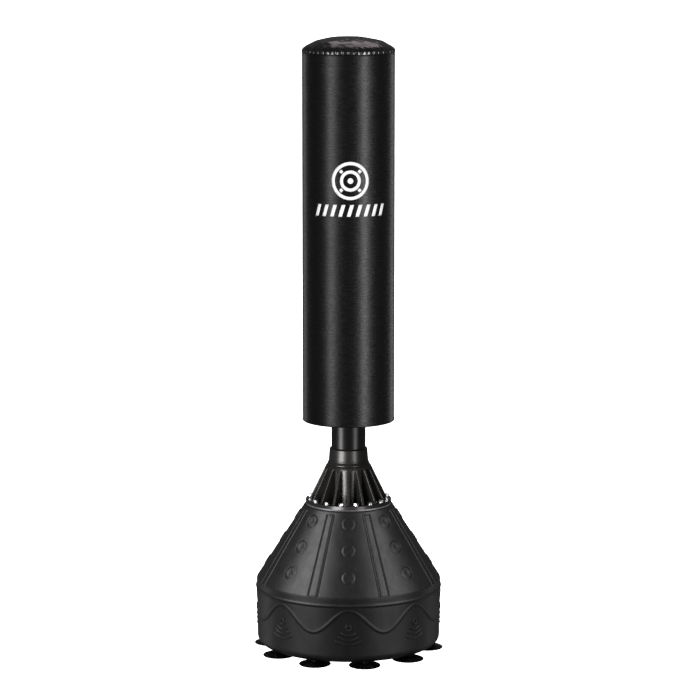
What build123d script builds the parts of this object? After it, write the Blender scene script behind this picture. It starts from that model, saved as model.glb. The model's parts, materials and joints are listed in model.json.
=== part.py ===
"""Free-standing heavy punching bag.

A water-filled plastic base tank stands on rubber suction cups. A ribbed housing bolted to the tank's top
holds a coil spring round a ball pivot. The spring carries a steel post, a collar and a plastic core tube,
and the padded bag is built round that tube. The bag sways on the pivot and the spring brings it back.

Frame: millimetres, +Z up, origin on the floor under the bag's axis, front of the bag towards -Y.
Azimuths are in degrees from the front (-Y) towards +X.
"""

import os
from math import cos, radians, sin, sqrt, tan

from build123d import *

# ---------------------------------------------------------------- driving dimensions
OVERALL_HEIGHT = 1750.0

# Base tank: radii and heights of its outer skin
TANK_FOOT_Z = 15.0
TANK_FOOT_R = 262.0
TANK_FOOT_FILLET = 22.0
SKIRT_TOP_R = 264.5
SKIRT_TOP_Z = 172.5
BEAD_R = 267.0
BEAD_Z = 180.5
SHOULDER_R = 264.0
SHOULDER_LOW_Z = 188.5
SHOULDER_TOP_Z = 203.0
TANK_TOP_R = 124.5
TANK_TOP_Z = 420.0
TANK_WALL = 5.0

# Relief on the tank's cone
PANELS = 8
STUD_R = 18.5
STUD_HEIGHT = 2.6
STUD_ROOT = 2.0
STUD_HEIGHTS_Z = (253.0, 321.0, 388.0)
GROOVE_WIDTH = 4.0
GROOVE_DEPTH = 2.5
GROOVE_HALF_SPREAD_TOP = 11.0
GROOVE_HALF_SPREAD_LOW = 15.0
GROOVE_TOP_Z = 412.0
GROOVE_LOW_Z = 208.0

# Ballast and filler
WATER_LEVEL_Z = 320.0
WATER_GAP = 0.5
FILLER_Z = 355.0
FILLER_BORE_R = 19.0
FILLER_NECK_R = 23.5
FILLER_NECK_HEIGHT = 14.0
FILLER_BOSS_R = 30.0
FILLER_BOSS_HEIGHT = 4.0
CAP_R = 29.0
CAP_HEIGHT = 20.0
CAP_GAP = 0.4
CAP_KNURLS = 24
CAP_KNURL_R = 1.6
CAP_BAR_WIDTH = 8.0
CAP_BAR_HEIGHT = 7.0
GASKET_THICKNESS = 2.0

# Suction cups
CUPS = 10
CUP_PHASE = 11.5
CUP_CIRCLE_R = 228.0
CUP_R = 45.0
CUP_LIP = 4.0
CUP_LIP_THICKNESS = 1.6
CUP_DISH = 4.5
CUP_SHOULDER_R = 22.0
CUP_SHOULDER_Z = 8.2
CUP_NECK_R = 14.0
STUD_SHANK_R = 3.95
CUP_STUD_HEAD_R = 11.0
CUP_STUD_HEAD_Z = 9.8
CUP_STUD_HEAD_THICKNESS = 2.0
CUP_STUD_TOP_Z = 33.0
CUP_INSERT_R = 6.35
CUP_INSERT_TOP_Z = 34.0
CUP_BOSS_R = 10.0
CUP_BOSS_TOP_Z = 39.0

# Flange bolts
BOLTS = 16
BOLT_CIRCLE_R = 111.0
BOLT_HEAD_FLATS = 13.0
BOLT_HEAD_HEIGHT = 5.3
BOLT_LENGTH = 32.0
BOLT_HOLE_R = 4.5
WASHER_R = 8.0
WASHER_THICKNESS = 1.6
INSERT_BORE_R = 4.0
INSERT_R = 5.35
INSERT_DEPTH = 19.0
INSERT_BOSS_R = 8.5
INSERT_BOSS_DEPTH = 24.0

# Mounting plate, spring and pivot
PLATE_R = 122.0
PLATE_THICKNESS = 4.0
SPRING_SPIGOT_R = 27.8
SPRING_SPIGOT_HEIGHT = 12.0
SPRING_MEAN_R = 36.0
SPRING_WIRE_R = 7.5
SPRING_TURNS = 3.75
SPRING_END_GAP = 0.3
PIVOT_Z = 468.0
BALL_R = 16.0
PIVOT_GAP = 0.3
CUP_HEAD_R = 19.0
CUP_HEAD_HEIGHT = 12.0
CUP_HEAD_SETBACK = 6.0
CUP_STEM_R = 11.0
SEAT_R = 43.0
SEAT_THICKNESS = 5.0

# Spring housing
FLANGE_R = 122.5
FLANGE_THICKNESS = 10.0
FLANGE_FILLET = 2.0
RIB_TOP_Z = 533.5
RIB_TOP_R = 62.8
RIB_SLOPE = 0.487
RIB_THICKNESS = 7.6
RIB_EDGE_FILLET = 1.8
BAY_TOP_Z = 524.5
BAY_FILLET = 5.0
CORE_R = 57.5
CORE_BORE_R = 53.5
DOME_R = 90.0
DOME_THICKNESS = 6.0
DOME_HOLE_R = 42.0
DOME_EDGE_R = 63.8
BUFFER_BORE_R = 38.5
BUFFER_LOW_Z = 537.0
BUFFER_TOP_Z = 546.0

# Collar, post and core tube
COLLAR_UNDER_R = 90.4
COLLAR_LOW_R = 60.3
COLLAR_WAIST_R = 56.4
COLLAR_WAIST_Z = 550.0
COLLAR_TOP_R = 54.0
COLLAR_TOP_Z = 583.0
COLLAR_CHAMFER = 4.0
COLLAR_SOCKET_Z = 566.0
POST_R = 21.2
POST_WALL = 3.0
POST_TOP_Z = 1006.0
CORE_TUBE_R = 48.9
CORE_TUBE_WALL = 4.0
CORE_TUBE_TOP_Z = 1655.0
SPACER_THICKNESS = 15.0
SPACER_HEIGHTS_Z = (646.0, 986.0)
FIT_GAP = 0.1

# Bag
BAG_R = 130.5
BAG_LOW_Z = 661.5
COVER_THICKNESS = 2.3
COVER_HEM_R = 70.0
COVER_EDGE_FILLET = 2.0
CAP_RIM_RADIUS = 14.0
CAP_RIM_TURN = 40.0
CAP_SHOULDER_RADIUS = 80.0
CAP_SHOULDER_TURN = 76.0
BOARD_THICKNESS = 8.0
FOAM_SPLIT_R = 90.0
FOAM_GAP = 0.3
PAD_SKIRT = 4.0
TUBE_PLUG_FLANGE = 5.0
TUBE_PLUG_DEPTH = 20.0
STRIP_WIDTH = 30.0
STRIP_THICKNESS = 1.6
STRIP_MARGIN = 14.0


# ---------------------------------------------------------------- shared geometry
TANK_SLOPE = (SHOULDER_R - TANK_TOP_R) / (TANK_TOP_Z - SHOULDER_TOP_Z)
FLANGE_LOW_Z = TANK_TOP_Z + PLATE_THICKNESS
FLANGE_TOP_Z = FLANGE_LOW_Z + FLANGE_THICKNESS
SEAT_LOW_Z = 2 * PIVOT_Z - FLANGE_LOW_Z
SEAT_TOP_Z = SEAT_LOW_Z + SEAT_THICKNESS
BAG_INNER_R = BAG_R - COVER_THICKNESS
CAP_RIM_CENTRE = Vector(BAG_R - CAP_RIM_RADIUS, 0)
CAP_SHOULDER_CENTRE = CAP_RIM_CENTRE + Vector(
    cos(radians(CAP_RIM_TURN)), sin(radians(CAP_RIM_TURN))
) * (CAP_RIM_RADIUS - CAP_SHOULDER_RADIUS)
CAP_CROWN_RADIUS = CAP_SHOULDER_RADIUS + CAP_SHOULDER_CENTRE.X / cos(
    radians(CAP_SHOULDER_TURN)
)
CAP_CROWN_CENTRE = Vector(
    0, CAP_SHOULDER_CENTRE.Y - CAP_SHOULDER_CENTRE.X * tan(radians(CAP_SHOULDER_TURN))
)
BAG_SEAM_Z = OVERALL_HEIGHT - CAP_CROWN_CENTRE.Y - CAP_CROWN_RADIUS
BOARD_LOW_Z = BAG_LOW_Z + COVER_THICKNESS
FOAM_LOW_Z = BOARD_LOW_Z + BOARD_THICKNESS
PLUG_TOP_Z = CORE_TUBE_TOP_Z + TUBE_PLUG_FLANGE


def tank_cone_radius(z):
    """Radius of the tank's conical skin at height z."""
    return TANK_TOP_R + (TANK_TOP_Z - z) * TANK_SLOPE


def rib_radius(z):
    """Radius of the housing ribs' outer edges at height z."""
    return RIB_TOP_R + (RIB_TOP_Z - z) * RIB_SLOPE


def sphere_height(ball_radius, radius):
    """Height of a pivot-centred sphere above the floor at a distance from the axis."""
    return PIVOT_Z + sqrt(ball_radius**2 - radius**2)


def cone_plane(azimuth, z):
    """Plane lying on the tank's cone: local Y runs up the slope and the normal points out."""
    a = radians(azimuth)
    out = Vector(sin(a), -cos(a), 0)
    return Plane(
        origin=out * tank_cone_radius(z) + Vector(0, 0, z),
        x_dir=Vector(cos(a), sin(a), 0),
        z_dir=out + Vector(0, 0, TANK_SLOPE),
    )


def ring_spots(radius, count, phase=0.0):
    """Evenly spaced places on a circle, the first at azimuth phase."""
    return PolarLocations(radius, count, start_angle=phase - 90)


def save(builder, label):
    """Labels a finished piece and writes it to its own STEP file."""
    builder.part.label = label
    export_step(builder.part, f"parts/{label}.step")


def save_ring(low_z, high_z, inner_r, outer_r, label):
    """Makes and writes a plain ring, or a disc if inner_r is 0."""
    with BuildPart() as ring:
        with BuildSketch(Plane.XY.offset(low_z)):
            Circle(outer_r)
            if inner_r:
                Circle(inner_r, mode=Mode.SUBTRACT)
        extrude(amount=high_z - low_z)
    save(ring, label)


def cap_outline(inset):
    """Draws the bag's domed top from its rim to the axis, a distance inside its outer skin."""
    for centre, radius, start, end in (
        (CAP_RIM_CENTRE, CAP_RIM_RADIUS, 0, CAP_RIM_TURN),
        (CAP_SHOULDER_CENTRE, CAP_SHOULDER_RADIUS, CAP_RIM_TURN, CAP_SHOULDER_TURN),
        (CAP_CROWN_CENTRE, CAP_CROWN_RADIUS, CAP_SHOULDER_TURN, 90),
    ):
        CenterArc(centre + Vector(0, BAG_SEAM_Z), radius - inset, start, end - start)


os.makedirs("parts", exist_ok=True)

# ---------------------------------------------------------------- base tank
with BuildPart() as base_tank:
    with BuildSketch(Plane.XZ):
        with BuildLine():
            foot = Polyline(
                (0, TANK_FOOT_Z),
                (TANK_FOOT_R - TANK_FOOT_FILLET, TANK_FOOT_Z),
            )
            RadiusArc(
                foot @ 1,
                (TANK_FOOT_R, TANK_FOOT_Z + TANK_FOOT_FILLET),
                -TANK_FOOT_FILLET,
            )
            Polyline(
                (TANK_FOOT_R, TANK_FOOT_Z + TANK_FOOT_FILLET),
                (SKIRT_TOP_R, SKIRT_TOP_Z),
            )
            ThreePointArc(
                (SKIRT_TOP_R, SKIRT_TOP_Z),
                (BEAD_R, BEAD_Z),
                (SHOULDER_R, SHOULDER_LOW_Z),
            )
            Polyline(
                (SHOULDER_R, SHOULDER_LOW_Z),
                (SHOULDER_R, SHOULDER_TOP_Z),
                (TANK_TOP_R, TANK_TOP_Z),
                (0, TANK_TOP_Z),
                (0, TANK_FOOT_Z),
            )
        make_face()
    revolve(axis=Axis.Z)
    # hollow inside
    with BuildSketch(Plane.XZ):
        with BuildLine():
            Polyline(
                (0, TANK_FOOT_Z + TANK_WALL),
                (TANK_FOOT_R - TANK_FOOT_FILLET, TANK_FOOT_Z + TANK_WALL),
                (TANK_FOOT_R - TANK_WALL, TANK_FOOT_Z + TANK_FOOT_FILLET),
                (SHOULDER_R - TANK_WALL, SHOULDER_LOW_Z),
                (SHOULDER_R - TANK_WALL, SHOULDER_TOP_Z - TANK_WALL / 2),
                (TANK_TOP_R - TANK_WALL / 2, TANK_TOP_Z - TANK_WALL),
                (0, TANK_TOP_Z - TANK_WALL),
                (0, TANK_FOOT_Z + TANK_WALL),
            )
        make_face()
    revolve(axis=Axis.Z, mode=Mode.SUBTRACT)
    # bosses that hold the threaded inserts, under the top and over the floor
    with BuildSketch(Plane.XY.offset(TANK_TOP_Z - INSERT_BOSS_DEPTH)):
        with ring_spots(BOLT_CIRCLE_R, BOLTS, 180 / BOLTS):
            Circle(INSERT_BOSS_R)
    extrude(amount=INSERT_BOSS_DEPTH - TANK_WALL / 2)
    with BuildSketch(Plane.XY.offset(TANK_FOOT_Z + TANK_WALL / 2)):
        with ring_spots(CUP_CIRCLE_R, CUPS, CUP_PHASE):
            Circle(CUP_BOSS_R)
    extrude(amount=CUP_BOSS_TOP_Z - TANK_FOOT_Z - TANK_WALL / 2)
    with BuildSketch(Plane.XY.offset(TANK_TOP_Z - INSERT_DEPTH)):
        with ring_spots(BOLT_CIRCLE_R, BOLTS, 180 / BOLTS):
            Circle(INSERT_R)
    extrude(amount=INSERT_DEPTH, mode=Mode.SUBTRACT)
    with BuildSketch(Plane.XY.offset(TANK_FOOT_Z)):
        with ring_spots(CUP_CIRCLE_R, CUPS, CUP_PHASE):
            Circle(CUP_INSERT_R)
    extrude(amount=CUP_INSERT_TOP_Z - TANK_FOOT_Z, mode=Mode.SUBTRACT)
    # filler spout on the back of the cone
    filler_plane = cone_plane(180, FILLER_Z)
    with BuildSketch(filler_plane.offset(-TANK_WALL)):
        Circle(FILLER_BOSS_R)
    extrude(amount=TANK_WALL + FILLER_BOSS_HEIGHT)
    with BuildSketch(filler_plane):
        Circle(FILLER_NECK_R)
    extrude(amount=FILLER_NECK_HEIGHT)
    with BuildSketch(filler_plane.offset(-2 * TANK_WALL)):
        Circle(FILLER_BORE_R)
    extrude(amount=2 * TANK_WALL + FILLER_NECK_HEIGHT, mode=Mode.SUBTRACT)
    # round studs down the middle of each panel, left out where the filler stands
    for panel in range(PANELS):
        azimuth = 360 * panel / PANELS
        for height in STUD_HEIGHTS_Z:
            if azimuth == 180 and height > STUD_HEIGHTS_Z[0]:
                continue
            with BuildSketch(cone_plane(azimuth, height).offset(-STUD_ROOT)):
                Circle(STUD_R)
            extrude(amount=STUD_ROOT + STUD_HEIGHT)
    # two grooves down each seam between panels, spreading a little towards the foot
    for panel in range(PANELS):
        azimuth = 360 * (panel + 0.5) / PANELS
        middle_z = (GROOVE_TOP_Z + GROOVE_LOW_Z) / 2
        half_length = (GROOVE_TOP_Z - GROOVE_LOW_Z) / 2 * sqrt(1 + TANK_SLOPE**2)
        for side in (-1, 1):
            with BuildSketch(cone_plane(azimuth, middle_z).offset(-GROOVE_DEPTH)):
                with BuildLine():
                    Polyline(
                        (side * GROOVE_HALF_SPREAD_LOW, -half_length),
                        (side * (GROOVE_HALF_SPREAD_LOW + GROOVE_WIDTH), -half_length),
                        (side * (GROOVE_HALF_SPREAD_TOP + GROOVE_WIDTH), half_length),
                        (side * GROOVE_HALF_SPREAD_TOP, half_length),
                        close=True,
                    )
                make_face()
            extrude(amount=2 * GROOVE_DEPTH, mode=Mode.SUBTRACT)
save(base_tank, "base_tank")

with BuildPart() as water_ballast:
    with BuildSketch(Plane.XZ):
        water_foot = TANK_FOOT_Z + TANK_WALL + WATER_GAP
        water_side = SHOULDER_R - TANK_WALL - WATER_GAP
        with BuildLine():
            Polyline(
                (0, water_foot),
                (TANK_FOOT_R - TANK_FOOT_FILLET - WATER_GAP, water_foot),
                (TANK_FOOT_R - TANK_WALL - WATER_GAP, TANK_FOOT_Z + TANK_FOOT_FILLET),
                (water_side, SHOULDER_LOW_Z),
                (water_side, SHOULDER_TOP_Z - TANK_WALL),
                (tank_cone_radius(WATER_LEVEL_Z) - 2 * TANK_WALL, WATER_LEVEL_Z),
                (0, WATER_LEVEL_Z),
                (0, water_foot),
            )
        make_face()
    revolve(axis=Axis.Z)
    with BuildSketch(Plane.XY.offset(TANK_FOOT_Z)):
        with ring_spots(CUP_CIRCLE_R, CUPS, CUP_PHASE):
            Circle(CUP_BOSS_R + WATER_GAP)
    extrude(amount=CUP_BOSS_TOP_Z - TANK_FOOT_Z + WATER_GAP, mode=Mode.SUBTRACT)
save(water_ballast, "water_ballast")

# ---------------------------------------------------------------- filler cap and gasket
gasket_foot = FILLER_NECK_HEIGHT + FIT_GAP
with BuildPart() as filler_gasket:
    with BuildSketch(filler_plane.offset(gasket_foot)):
        Circle(FILLER_NECK_R)
        Circle(FILLER_BORE_R, mode=Mode.SUBTRACT)
    extrude(amount=GASKET_THICKNESS)
save(filler_gasket, "filler_gasket")

with BuildPart() as filler_cap:
    cap_foot = FILLER_BOSS_HEIGHT + CAP_GAP
    with BuildSketch(filler_plane.offset(cap_foot)):
        Circle(CAP_R)
        with PolarLocations(CAP_R, CAP_KNURLS):
            Circle(CAP_KNURL_R, mode=Mode.SUBTRACT)
    extrude(amount=CAP_HEIGHT - cap_foot)
    with BuildSketch(filler_plane.offset(cap_foot)):
        Circle(FILLER_NECK_R + CAP_GAP)
    extrude(
        amount=gasket_foot + GASKET_THICKNESS + CAP_GAP - cap_foot, mode=Mode.SUBTRACT
    )
    with BuildSketch(filler_plane.offset(CAP_HEIGHT)):
        SlotOverall(2 * CAP_R - 4 * CAP_KNURL_R, CAP_BAR_WIDTH)
    extrude(amount=CAP_BAR_HEIGHT)
save(filler_cap, "filler_cap")

# ---------------------------------------------------------------- suction cups
for number, spot in enumerate(ring_spots(CUP_CIRCLE_R, CUPS, CUP_PHASE), start=1):
    cup_plane = Plane(origin=spot.position, x_dir=(1, 0, 0), z_dir=(0, -1, 0))
    with BuildPart() as suction_cup:
        with BuildSketch(cup_plane):
            with BuildLine():
                Polyline(
                    (CUP_R - CUP_LIP, 0),
                    (CUP_R, 0),
                    (CUP_R, CUP_LIP_THICKNESS),
                    (CUP_SHOULDER_R, CUP_SHOULDER_Z),
                    (CUP_NECK_R, CUP_SHOULDER_Z + 1),
                    (CUP_NECK_R, TANK_FOOT_Z),
                    (0, TANK_FOOT_Z),
                    (0, CUP_DISH),
                )
                ThreePointArc(
                    (0, CUP_DISH),
                    (CUP_R / 2, CUP_DISH * 0.72),
                    (CUP_R - CUP_LIP, 0),
                )
            make_face()
        revolve(axis=Axis(spot.position, (0, 0, 1)))
        with BuildSketch(cup_plane):
            with BuildLine():
                Polyline(
                    (0, CUP_STUD_HEAD_Z),
                    (CUP_STUD_HEAD_R, CUP_STUD_HEAD_Z),
                    (CUP_STUD_HEAD_R, CUP_STUD_HEAD_Z + CUP_STUD_HEAD_THICKNESS),
                    (STUD_SHANK_R, CUP_STUD_HEAD_Z + CUP_STUD_HEAD_THICKNESS),
                    (STUD_SHANK_R, CUP_STUD_TOP_Z),
                    (0, CUP_STUD_TOP_Z),
                    close=True,
                )
            make_face()
        revolve(axis=Axis(spot.position, (0, 0, 1)), mode=Mode.SUBTRACT)
    save(suction_cup, f"suction_cup_{number:02d}")

with BuildPart() as cup_studs:
    with BuildSketch(Plane.XY.offset(CUP_STUD_HEAD_Z)):
        with ring_spots(CUP_CIRCLE_R, CUPS, CUP_PHASE):
            Circle(CUP_STUD_HEAD_R)
    extrude(amount=CUP_STUD_HEAD_THICKNESS)
    with BuildSketch(Plane.XY.offset(CUP_STUD_HEAD_Z + CUP_STUD_HEAD_THICKNESS)):
        with ring_spots(CUP_CIRCLE_R, CUPS, CUP_PHASE):
            Circle(STUD_SHANK_R)
    extrude(amount=CUP_STUD_TOP_Z - CUP_STUD_HEAD_Z - CUP_STUD_HEAD_THICKNESS)
save(cup_studs, "cup_studs")

with BuildPart() as cup_inserts:
    with BuildSketch(Plane.XY.offset(TANK_FOOT_Z)):
        with ring_spots(CUP_CIRCLE_R, CUPS, CUP_PHASE):
            Circle(CUP_INSERT_R)
            Circle(INSERT_BORE_R, mode=Mode.SUBTRACT)
    extrude(amount=CUP_INSERT_TOP_Z - TANK_FOOT_Z)
save(cup_inserts, "cup_inserts")

# ---------------------------------------------------------------- flange bolts, washers and inserts
with BuildPart() as flange_inserts:
    with BuildSketch(Plane.XY.offset(TANK_TOP_Z - INSERT_DEPTH)):
        with ring_spots(BOLT_CIRCLE_R, BOLTS, 180 / BOLTS):
            Circle(INSERT_R)
            Circle(INSERT_BORE_R, mode=Mode.SUBTRACT)
    extrude(amount=INSERT_DEPTH)
save(flange_inserts, "flange_inserts")

with BuildPart() as flange_washers:
    with BuildSketch(Plane.XY.offset(FLANGE_TOP_Z)):
        with ring_spots(BOLT_CIRCLE_R, BOLTS, 180 / BOLTS):
            Circle(WASHER_R)
            Circle(BOLT_HOLE_R, mode=Mode.SUBTRACT)
    extrude(amount=WASHER_THICKNESS)
save(flange_washers, "flange_washers")

bolt_head_z = FLANGE_TOP_Z + WASHER_THICKNESS
with BuildPart() as flange_bolts:
    with BuildSketch(Plane.XY.offset(bolt_head_z)):
        with ring_spots(BOLT_CIRCLE_R, BOLTS, 180 / BOLTS):
            RegularPolygon(BOLT_HEAD_FLATS / 2, 6, major_radius=False)
    extrude(amount=BOLT_HEAD_HEIGHT)
    head_tops = flange_bolts.faces().filter_by(Axis.Z).group_by(Axis.Z)[-1]
    chamfer(head_tops.edges(), 0.6)
    with BuildSketch(Plane.XY.offset(bolt_head_z - BOLT_LENGTH)):
        with ring_spots(BOLT_CIRCLE_R, BOLTS, 180 / BOLTS):
            Circle(STUD_SHANK_R)
    extrude(amount=BOLT_LENGTH)
save(flange_bolts, "flange_bolts")

# ---------------------------------------------------------------- mounting plate and pivot
with BuildPart() as mounting_plate:
    with BuildSketch(Plane.XY.offset(TANK_TOP_Z)):
        Circle(PLATE_R)
        with ring_spots(BOLT_CIRCLE_R, BOLTS, 180 / BOLTS):
            Circle(BOLT_HOLE_R, mode=Mode.SUBTRACT)
    extrude(amount=PLATE_THICKNESS)
    with BuildSketch(Plane.XY.offset(FLANGE_LOW_Z)):
        Circle(SPRING_SPIGOT_R)
    extrude(amount=SPRING_SPIGOT_HEIGHT)
save(mounting_plate, "mounting_plate")


def save_ball_cup(side, label):
    """Makes a ball cup below (side -1) or above (side +1) the pivot, standing on its spring spigot."""
    near = PIVOT_Z + side * CUP_HEAD_SETBACK
    waist = near + side * CUP_HEAD_HEIGHT
    far = (
        FLANGE_LOW_Z + SPRING_SPIGOT_HEIGHT
        if side < 0
        else SEAT_LOW_Z - SPRING_SPIGOT_HEIGHT
    )
    with BuildPart() as ball_cup:
        with BuildSketch(Plane.XZ):
            with BuildLine():
                Polyline(
                    (0, near),
                    (CUP_HEAD_R, near),
                    (CUP_HEAD_R, waist),
                    (CUP_STEM_R, waist),
                    (CUP_STEM_R, far),
                    (0, far),
                    close=True,
                )
            make_face()
        revolve(axis=Axis.Z)
        with Locations((0, 0, PIVOT_Z)):
            Sphere(BALL_R + PIVOT_GAP, mode=Mode.SUBTRACT)
    save(ball_cup, label)


save_ball_cup(-1, "pivot_stem")
save_ball_cup(1, "pivot_cup")

with BuildPart() as pivot_ball:
    with Locations((0, 0, PIVOT_Z)):
        Sphere(BALL_R)
save(pivot_ball, "pivot_ball")

# ---------------------------------------------------------------- spring
spring_low_z = FLANGE_LOW_Z + SPRING_WIRE_R + SPRING_END_GAP
spring_height = SEAT_LOW_Z - FLANGE_LOW_Z - 2 * (SPRING_WIRE_R + SPRING_END_GAP)
with BuildPart() as main_spring:
    with BuildLine(Plane.XY.offset(spring_low_z)):
        coil = Helix(spring_height / SPRING_TURNS, spring_height, SPRING_MEAN_R)
    with BuildSketch(Plane(origin=coil @ 0, z_dir=coil % 0)):
        Circle(SPRING_WIRE_R)
    sweep(path=coil, is_frenet=True)
save(main_spring, "main_spring")

# ---------------------------------------------------------------- spring housing
with BuildPart() as bay_cutter:
    half_turn = radians(180 / BOLTS)
    apex_y = -RIB_THICKNESS / 2 / sin(half_turn)
    reach_y = -1.2 * FLANGE_R
    reach_x = (apex_y - reach_y) * tan(half_turn)
    with BuildSketch(Plane.XY.offset(FLANGE_TOP_Z)):
        Polygon((0, apex_y), (-reach_x, reach_y), (reach_x, reach_y), align=None)
        Circle(CORE_R, mode=Mode.SUBTRACT)
    extrude(amount=BAY_TOP_Z - FLANGE_TOP_Z)
    bay_roof = bay_cutter.faces().filter_by(Axis.Z).group_by(Axis.Z)[-1]
    roof_corners = bay_roof.edges().filter_by(GeomType.LINE).sort_by(Axis.Y)[1:]
    fillet(roof_corners, BAY_FILLET)

with BuildPart() as spring_housing:
    # flange, ribbed cone and domed top in one outline
    with BuildSketch(Plane.XZ):
        dome_edge_z = sphere_height(DOME_R, DOME_EDGE_R)
        dome_hole_z = sphere_height(DOME_R, DOME_HOLE_R)
        inner_dome_r = DOME_R - DOME_THICKNESS
        inner_hole_z = sphere_height(inner_dome_r, DOME_HOLE_R)
        inner_edge_z = sphere_height(inner_dome_r, CORE_BORE_R)
        with BuildLine():
            Polyline(
                (CORE_BORE_R, inner_edge_z),
                (CORE_BORE_R, FLANGE_LOW_Z),
                (FLANGE_R, FLANGE_LOW_Z),
                (FLANGE_R, FLANGE_TOP_Z),
                (rib_radius(FLANGE_TOP_Z), FLANGE_TOP_Z),
                (DOME_EDGE_R, dome_edge_z),
            )
            RadiusArc((DOME_EDGE_R, dome_edge_z), (DOME_HOLE_R, dome_hole_z), -DOME_R)
            Line((DOME_HOLE_R, dome_hole_z), (DOME_HOLE_R, inner_hole_z))
            RadiusArc(
                (DOME_HOLE_R, inner_hole_z), (CORE_BORE_R, inner_edge_z), inner_dome_r
            )
        make_face()
    revolve(axis=Axis.Z)
    # open bays between the ribs
    with PolarLocations(0, BOLTS, start_angle=180 / BOLTS):
        add(bay_cutter.part, mode=Mode.SUBTRACT)
    # soft edges along the ribs and round the flange
    rib_edges = [
        e
        for e in spring_housing.edges()
        if e.geom_type not in (GeomType.LINE, GeomType.CIRCLE)
        and e.bounding_box().size.Z > 0.7 * (BAY_TOP_Z - FLANGE_TOP_Z)
    ]
    fillet(rib_edges, RIB_EDGE_FILLET)
    flange_rim = [
        e
        for e in spring_housing.edges().filter_by(GeomType.CIRCLE)
        if abs(e.radius - FLANGE_R) < 0.01 and e.center().Z > FLANGE_TOP_Z - 1
    ]
    fillet(flange_rim, FLANGE_FILLET)
    with BuildSketch(Plane.XY.offset(FLANGE_LOW_Z)):
        with ring_spots(BOLT_CIRCLE_R, BOLTS, 180 / BOLTS):
            Circle(BOLT_HOLE_R)
    extrude(amount=FLANGE_THICKNESS, mode=Mode.SUBTRACT)
save(spring_housing, "spring_housing")

save_ring(
    BUFFER_LOW_Z, BUFFER_TOP_Z, BUFFER_BORE_R, DOME_HOLE_R - FIT_GAP, "tilt_buffer"
)

# ---------------------------------------------------------------- spring seat, post and collar
with BuildPart() as upper_spring_seat:
    with BuildSketch(Plane.XY.offset(SEAT_LOW_Z)):
        Circle(SEAT_R)
    extrude(amount=SEAT_THICKNESS)
    with BuildSketch(Plane.XY.offset(SEAT_LOW_Z - SPRING_SPIGOT_HEIGHT)):
        Circle(SPRING_SPIGOT_R)
    extrude(amount=SPRING_SPIGOT_HEIGHT)
save(upper_spring_seat, "upper_spring_seat")

save_ring(SEAT_TOP_Z, POST_TOP_Z, POST_R - POST_WALL, POST_R, "pole_post")

with BuildPart() as neck_collar:
    with BuildSketch(Plane.XZ):
        bore_r = POST_R + FIT_GAP
        socket_r = CORE_TUBE_R + FIT_GAP
        skirt_z = sphere_height(COLLAR_UNDER_R, COLLAR_LOW_R)
        with BuildLine():
            Polyline(
                (COLLAR_LOW_R, skirt_z),
                (COLLAR_LOW_R, skirt_z + 1.5),
                (COLLAR_WAIST_R + 1, COLLAR_WAIST_Z - 6),
                (COLLAR_WAIST_R, COLLAR_WAIST_Z),
                (COLLAR_TOP_R, COLLAR_TOP_Z - COLLAR_CHAMFER),
                (COLLAR_TOP_R - COLLAR_CHAMFER, COLLAR_TOP_Z),
                (socket_r, COLLAR_TOP_Z),
                (socket_r, COLLAR_SOCKET_Z),
                (bore_r, COLLAR_SOCKET_Z),
                (bore_r, sphere_height(COLLAR_UNDER_R, bore_r)),
            )
            RadiusArc(
                (bore_r, sphere_height(COLLAR_UNDER_R, bore_r)),
                (COLLAR_LOW_R, skirt_z),
                COLLAR_UNDER_R,
            )
        make_face()
    revolve(axis=Axis.Z)
save(neck_collar, "neck_collar")

save_ring(
    COLLAR_SOCKET_Z,
    CORE_TUBE_TOP_Z,
    CORE_TUBE_R - CORE_TUBE_WALL,
    CORE_TUBE_R,
    "core_tube",
)
for height, place in zip(SPACER_HEIGHTS_Z, ("lower", "upper")):
    save_ring(
        height,
        height + SPACER_THICKNESS,
        POST_R + FIT_GAP,
        CORE_TUBE_R - CORE_TUBE_WALL - FIT_GAP,
        f"{place}_post_spacer",
    )

with BuildPart() as core_tube_plug:
    with BuildSketch(Plane.XY.offset(CORE_TUBE_TOP_Z - TUBE_PLUG_DEPTH)):
        Circle(CORE_TUBE_R - CORE_TUBE_WALL - FIT_GAP)
    extrude(amount=TUBE_PLUG_DEPTH)
    with BuildSketch(Plane.XY.offset(CORE_TUBE_TOP_Z)):
        Circle(CORE_TUBE_R)
    extrude(amount=TUBE_PLUG_FLANGE)
save(core_tube_plug, "core_tube_plug")

# ---------------------------------------------------------------- padding
save_ring(
    BOARD_LOW_Z, FOAM_LOW_Z, CORE_TUBE_R + FOAM_GAP, BAG_INNER_R - FOAM_GAP, "bag_floor"
)
save_ring(
    FOAM_LOW_Z, PLUG_TOP_Z, CORE_TUBE_R + FOAM_GAP, FOAM_SPLIT_R, "inner_foam_wrap"
)
save_ring(
    FOAM_LOW_Z,
    BAG_SEAM_Z - PAD_SKIRT,
    FOAM_SPLIT_R + FOAM_GAP,
    BAG_INNER_R - FOAM_GAP,
    "outer_foam_wrap",
)

with BuildPart() as top_pad:
    with BuildSketch(Plane.XZ):
        pad_inset = COVER_THICKNESS + FOAM_GAP
        pad_r = BAG_R - pad_inset
        step_z = BAG_SEAM_Z - PAD_SKIRT + FOAM_GAP
        with BuildLine():
            Polyline(
                (pad_r, BAG_SEAM_Z),
                (pad_r, step_z),
                (FOAM_SPLIT_R, step_z),
                (FOAM_SPLIT_R, PLUG_TOP_Z + FOAM_GAP),
                (0, PLUG_TOP_Z + FOAM_GAP),
                (0, OVERALL_HEIGHT - pad_inset),
            )
            cap_outline(pad_inset)
        make_face()
    revolve(axis=Axis.Z)
save(top_pad, "top_pad")

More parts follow.
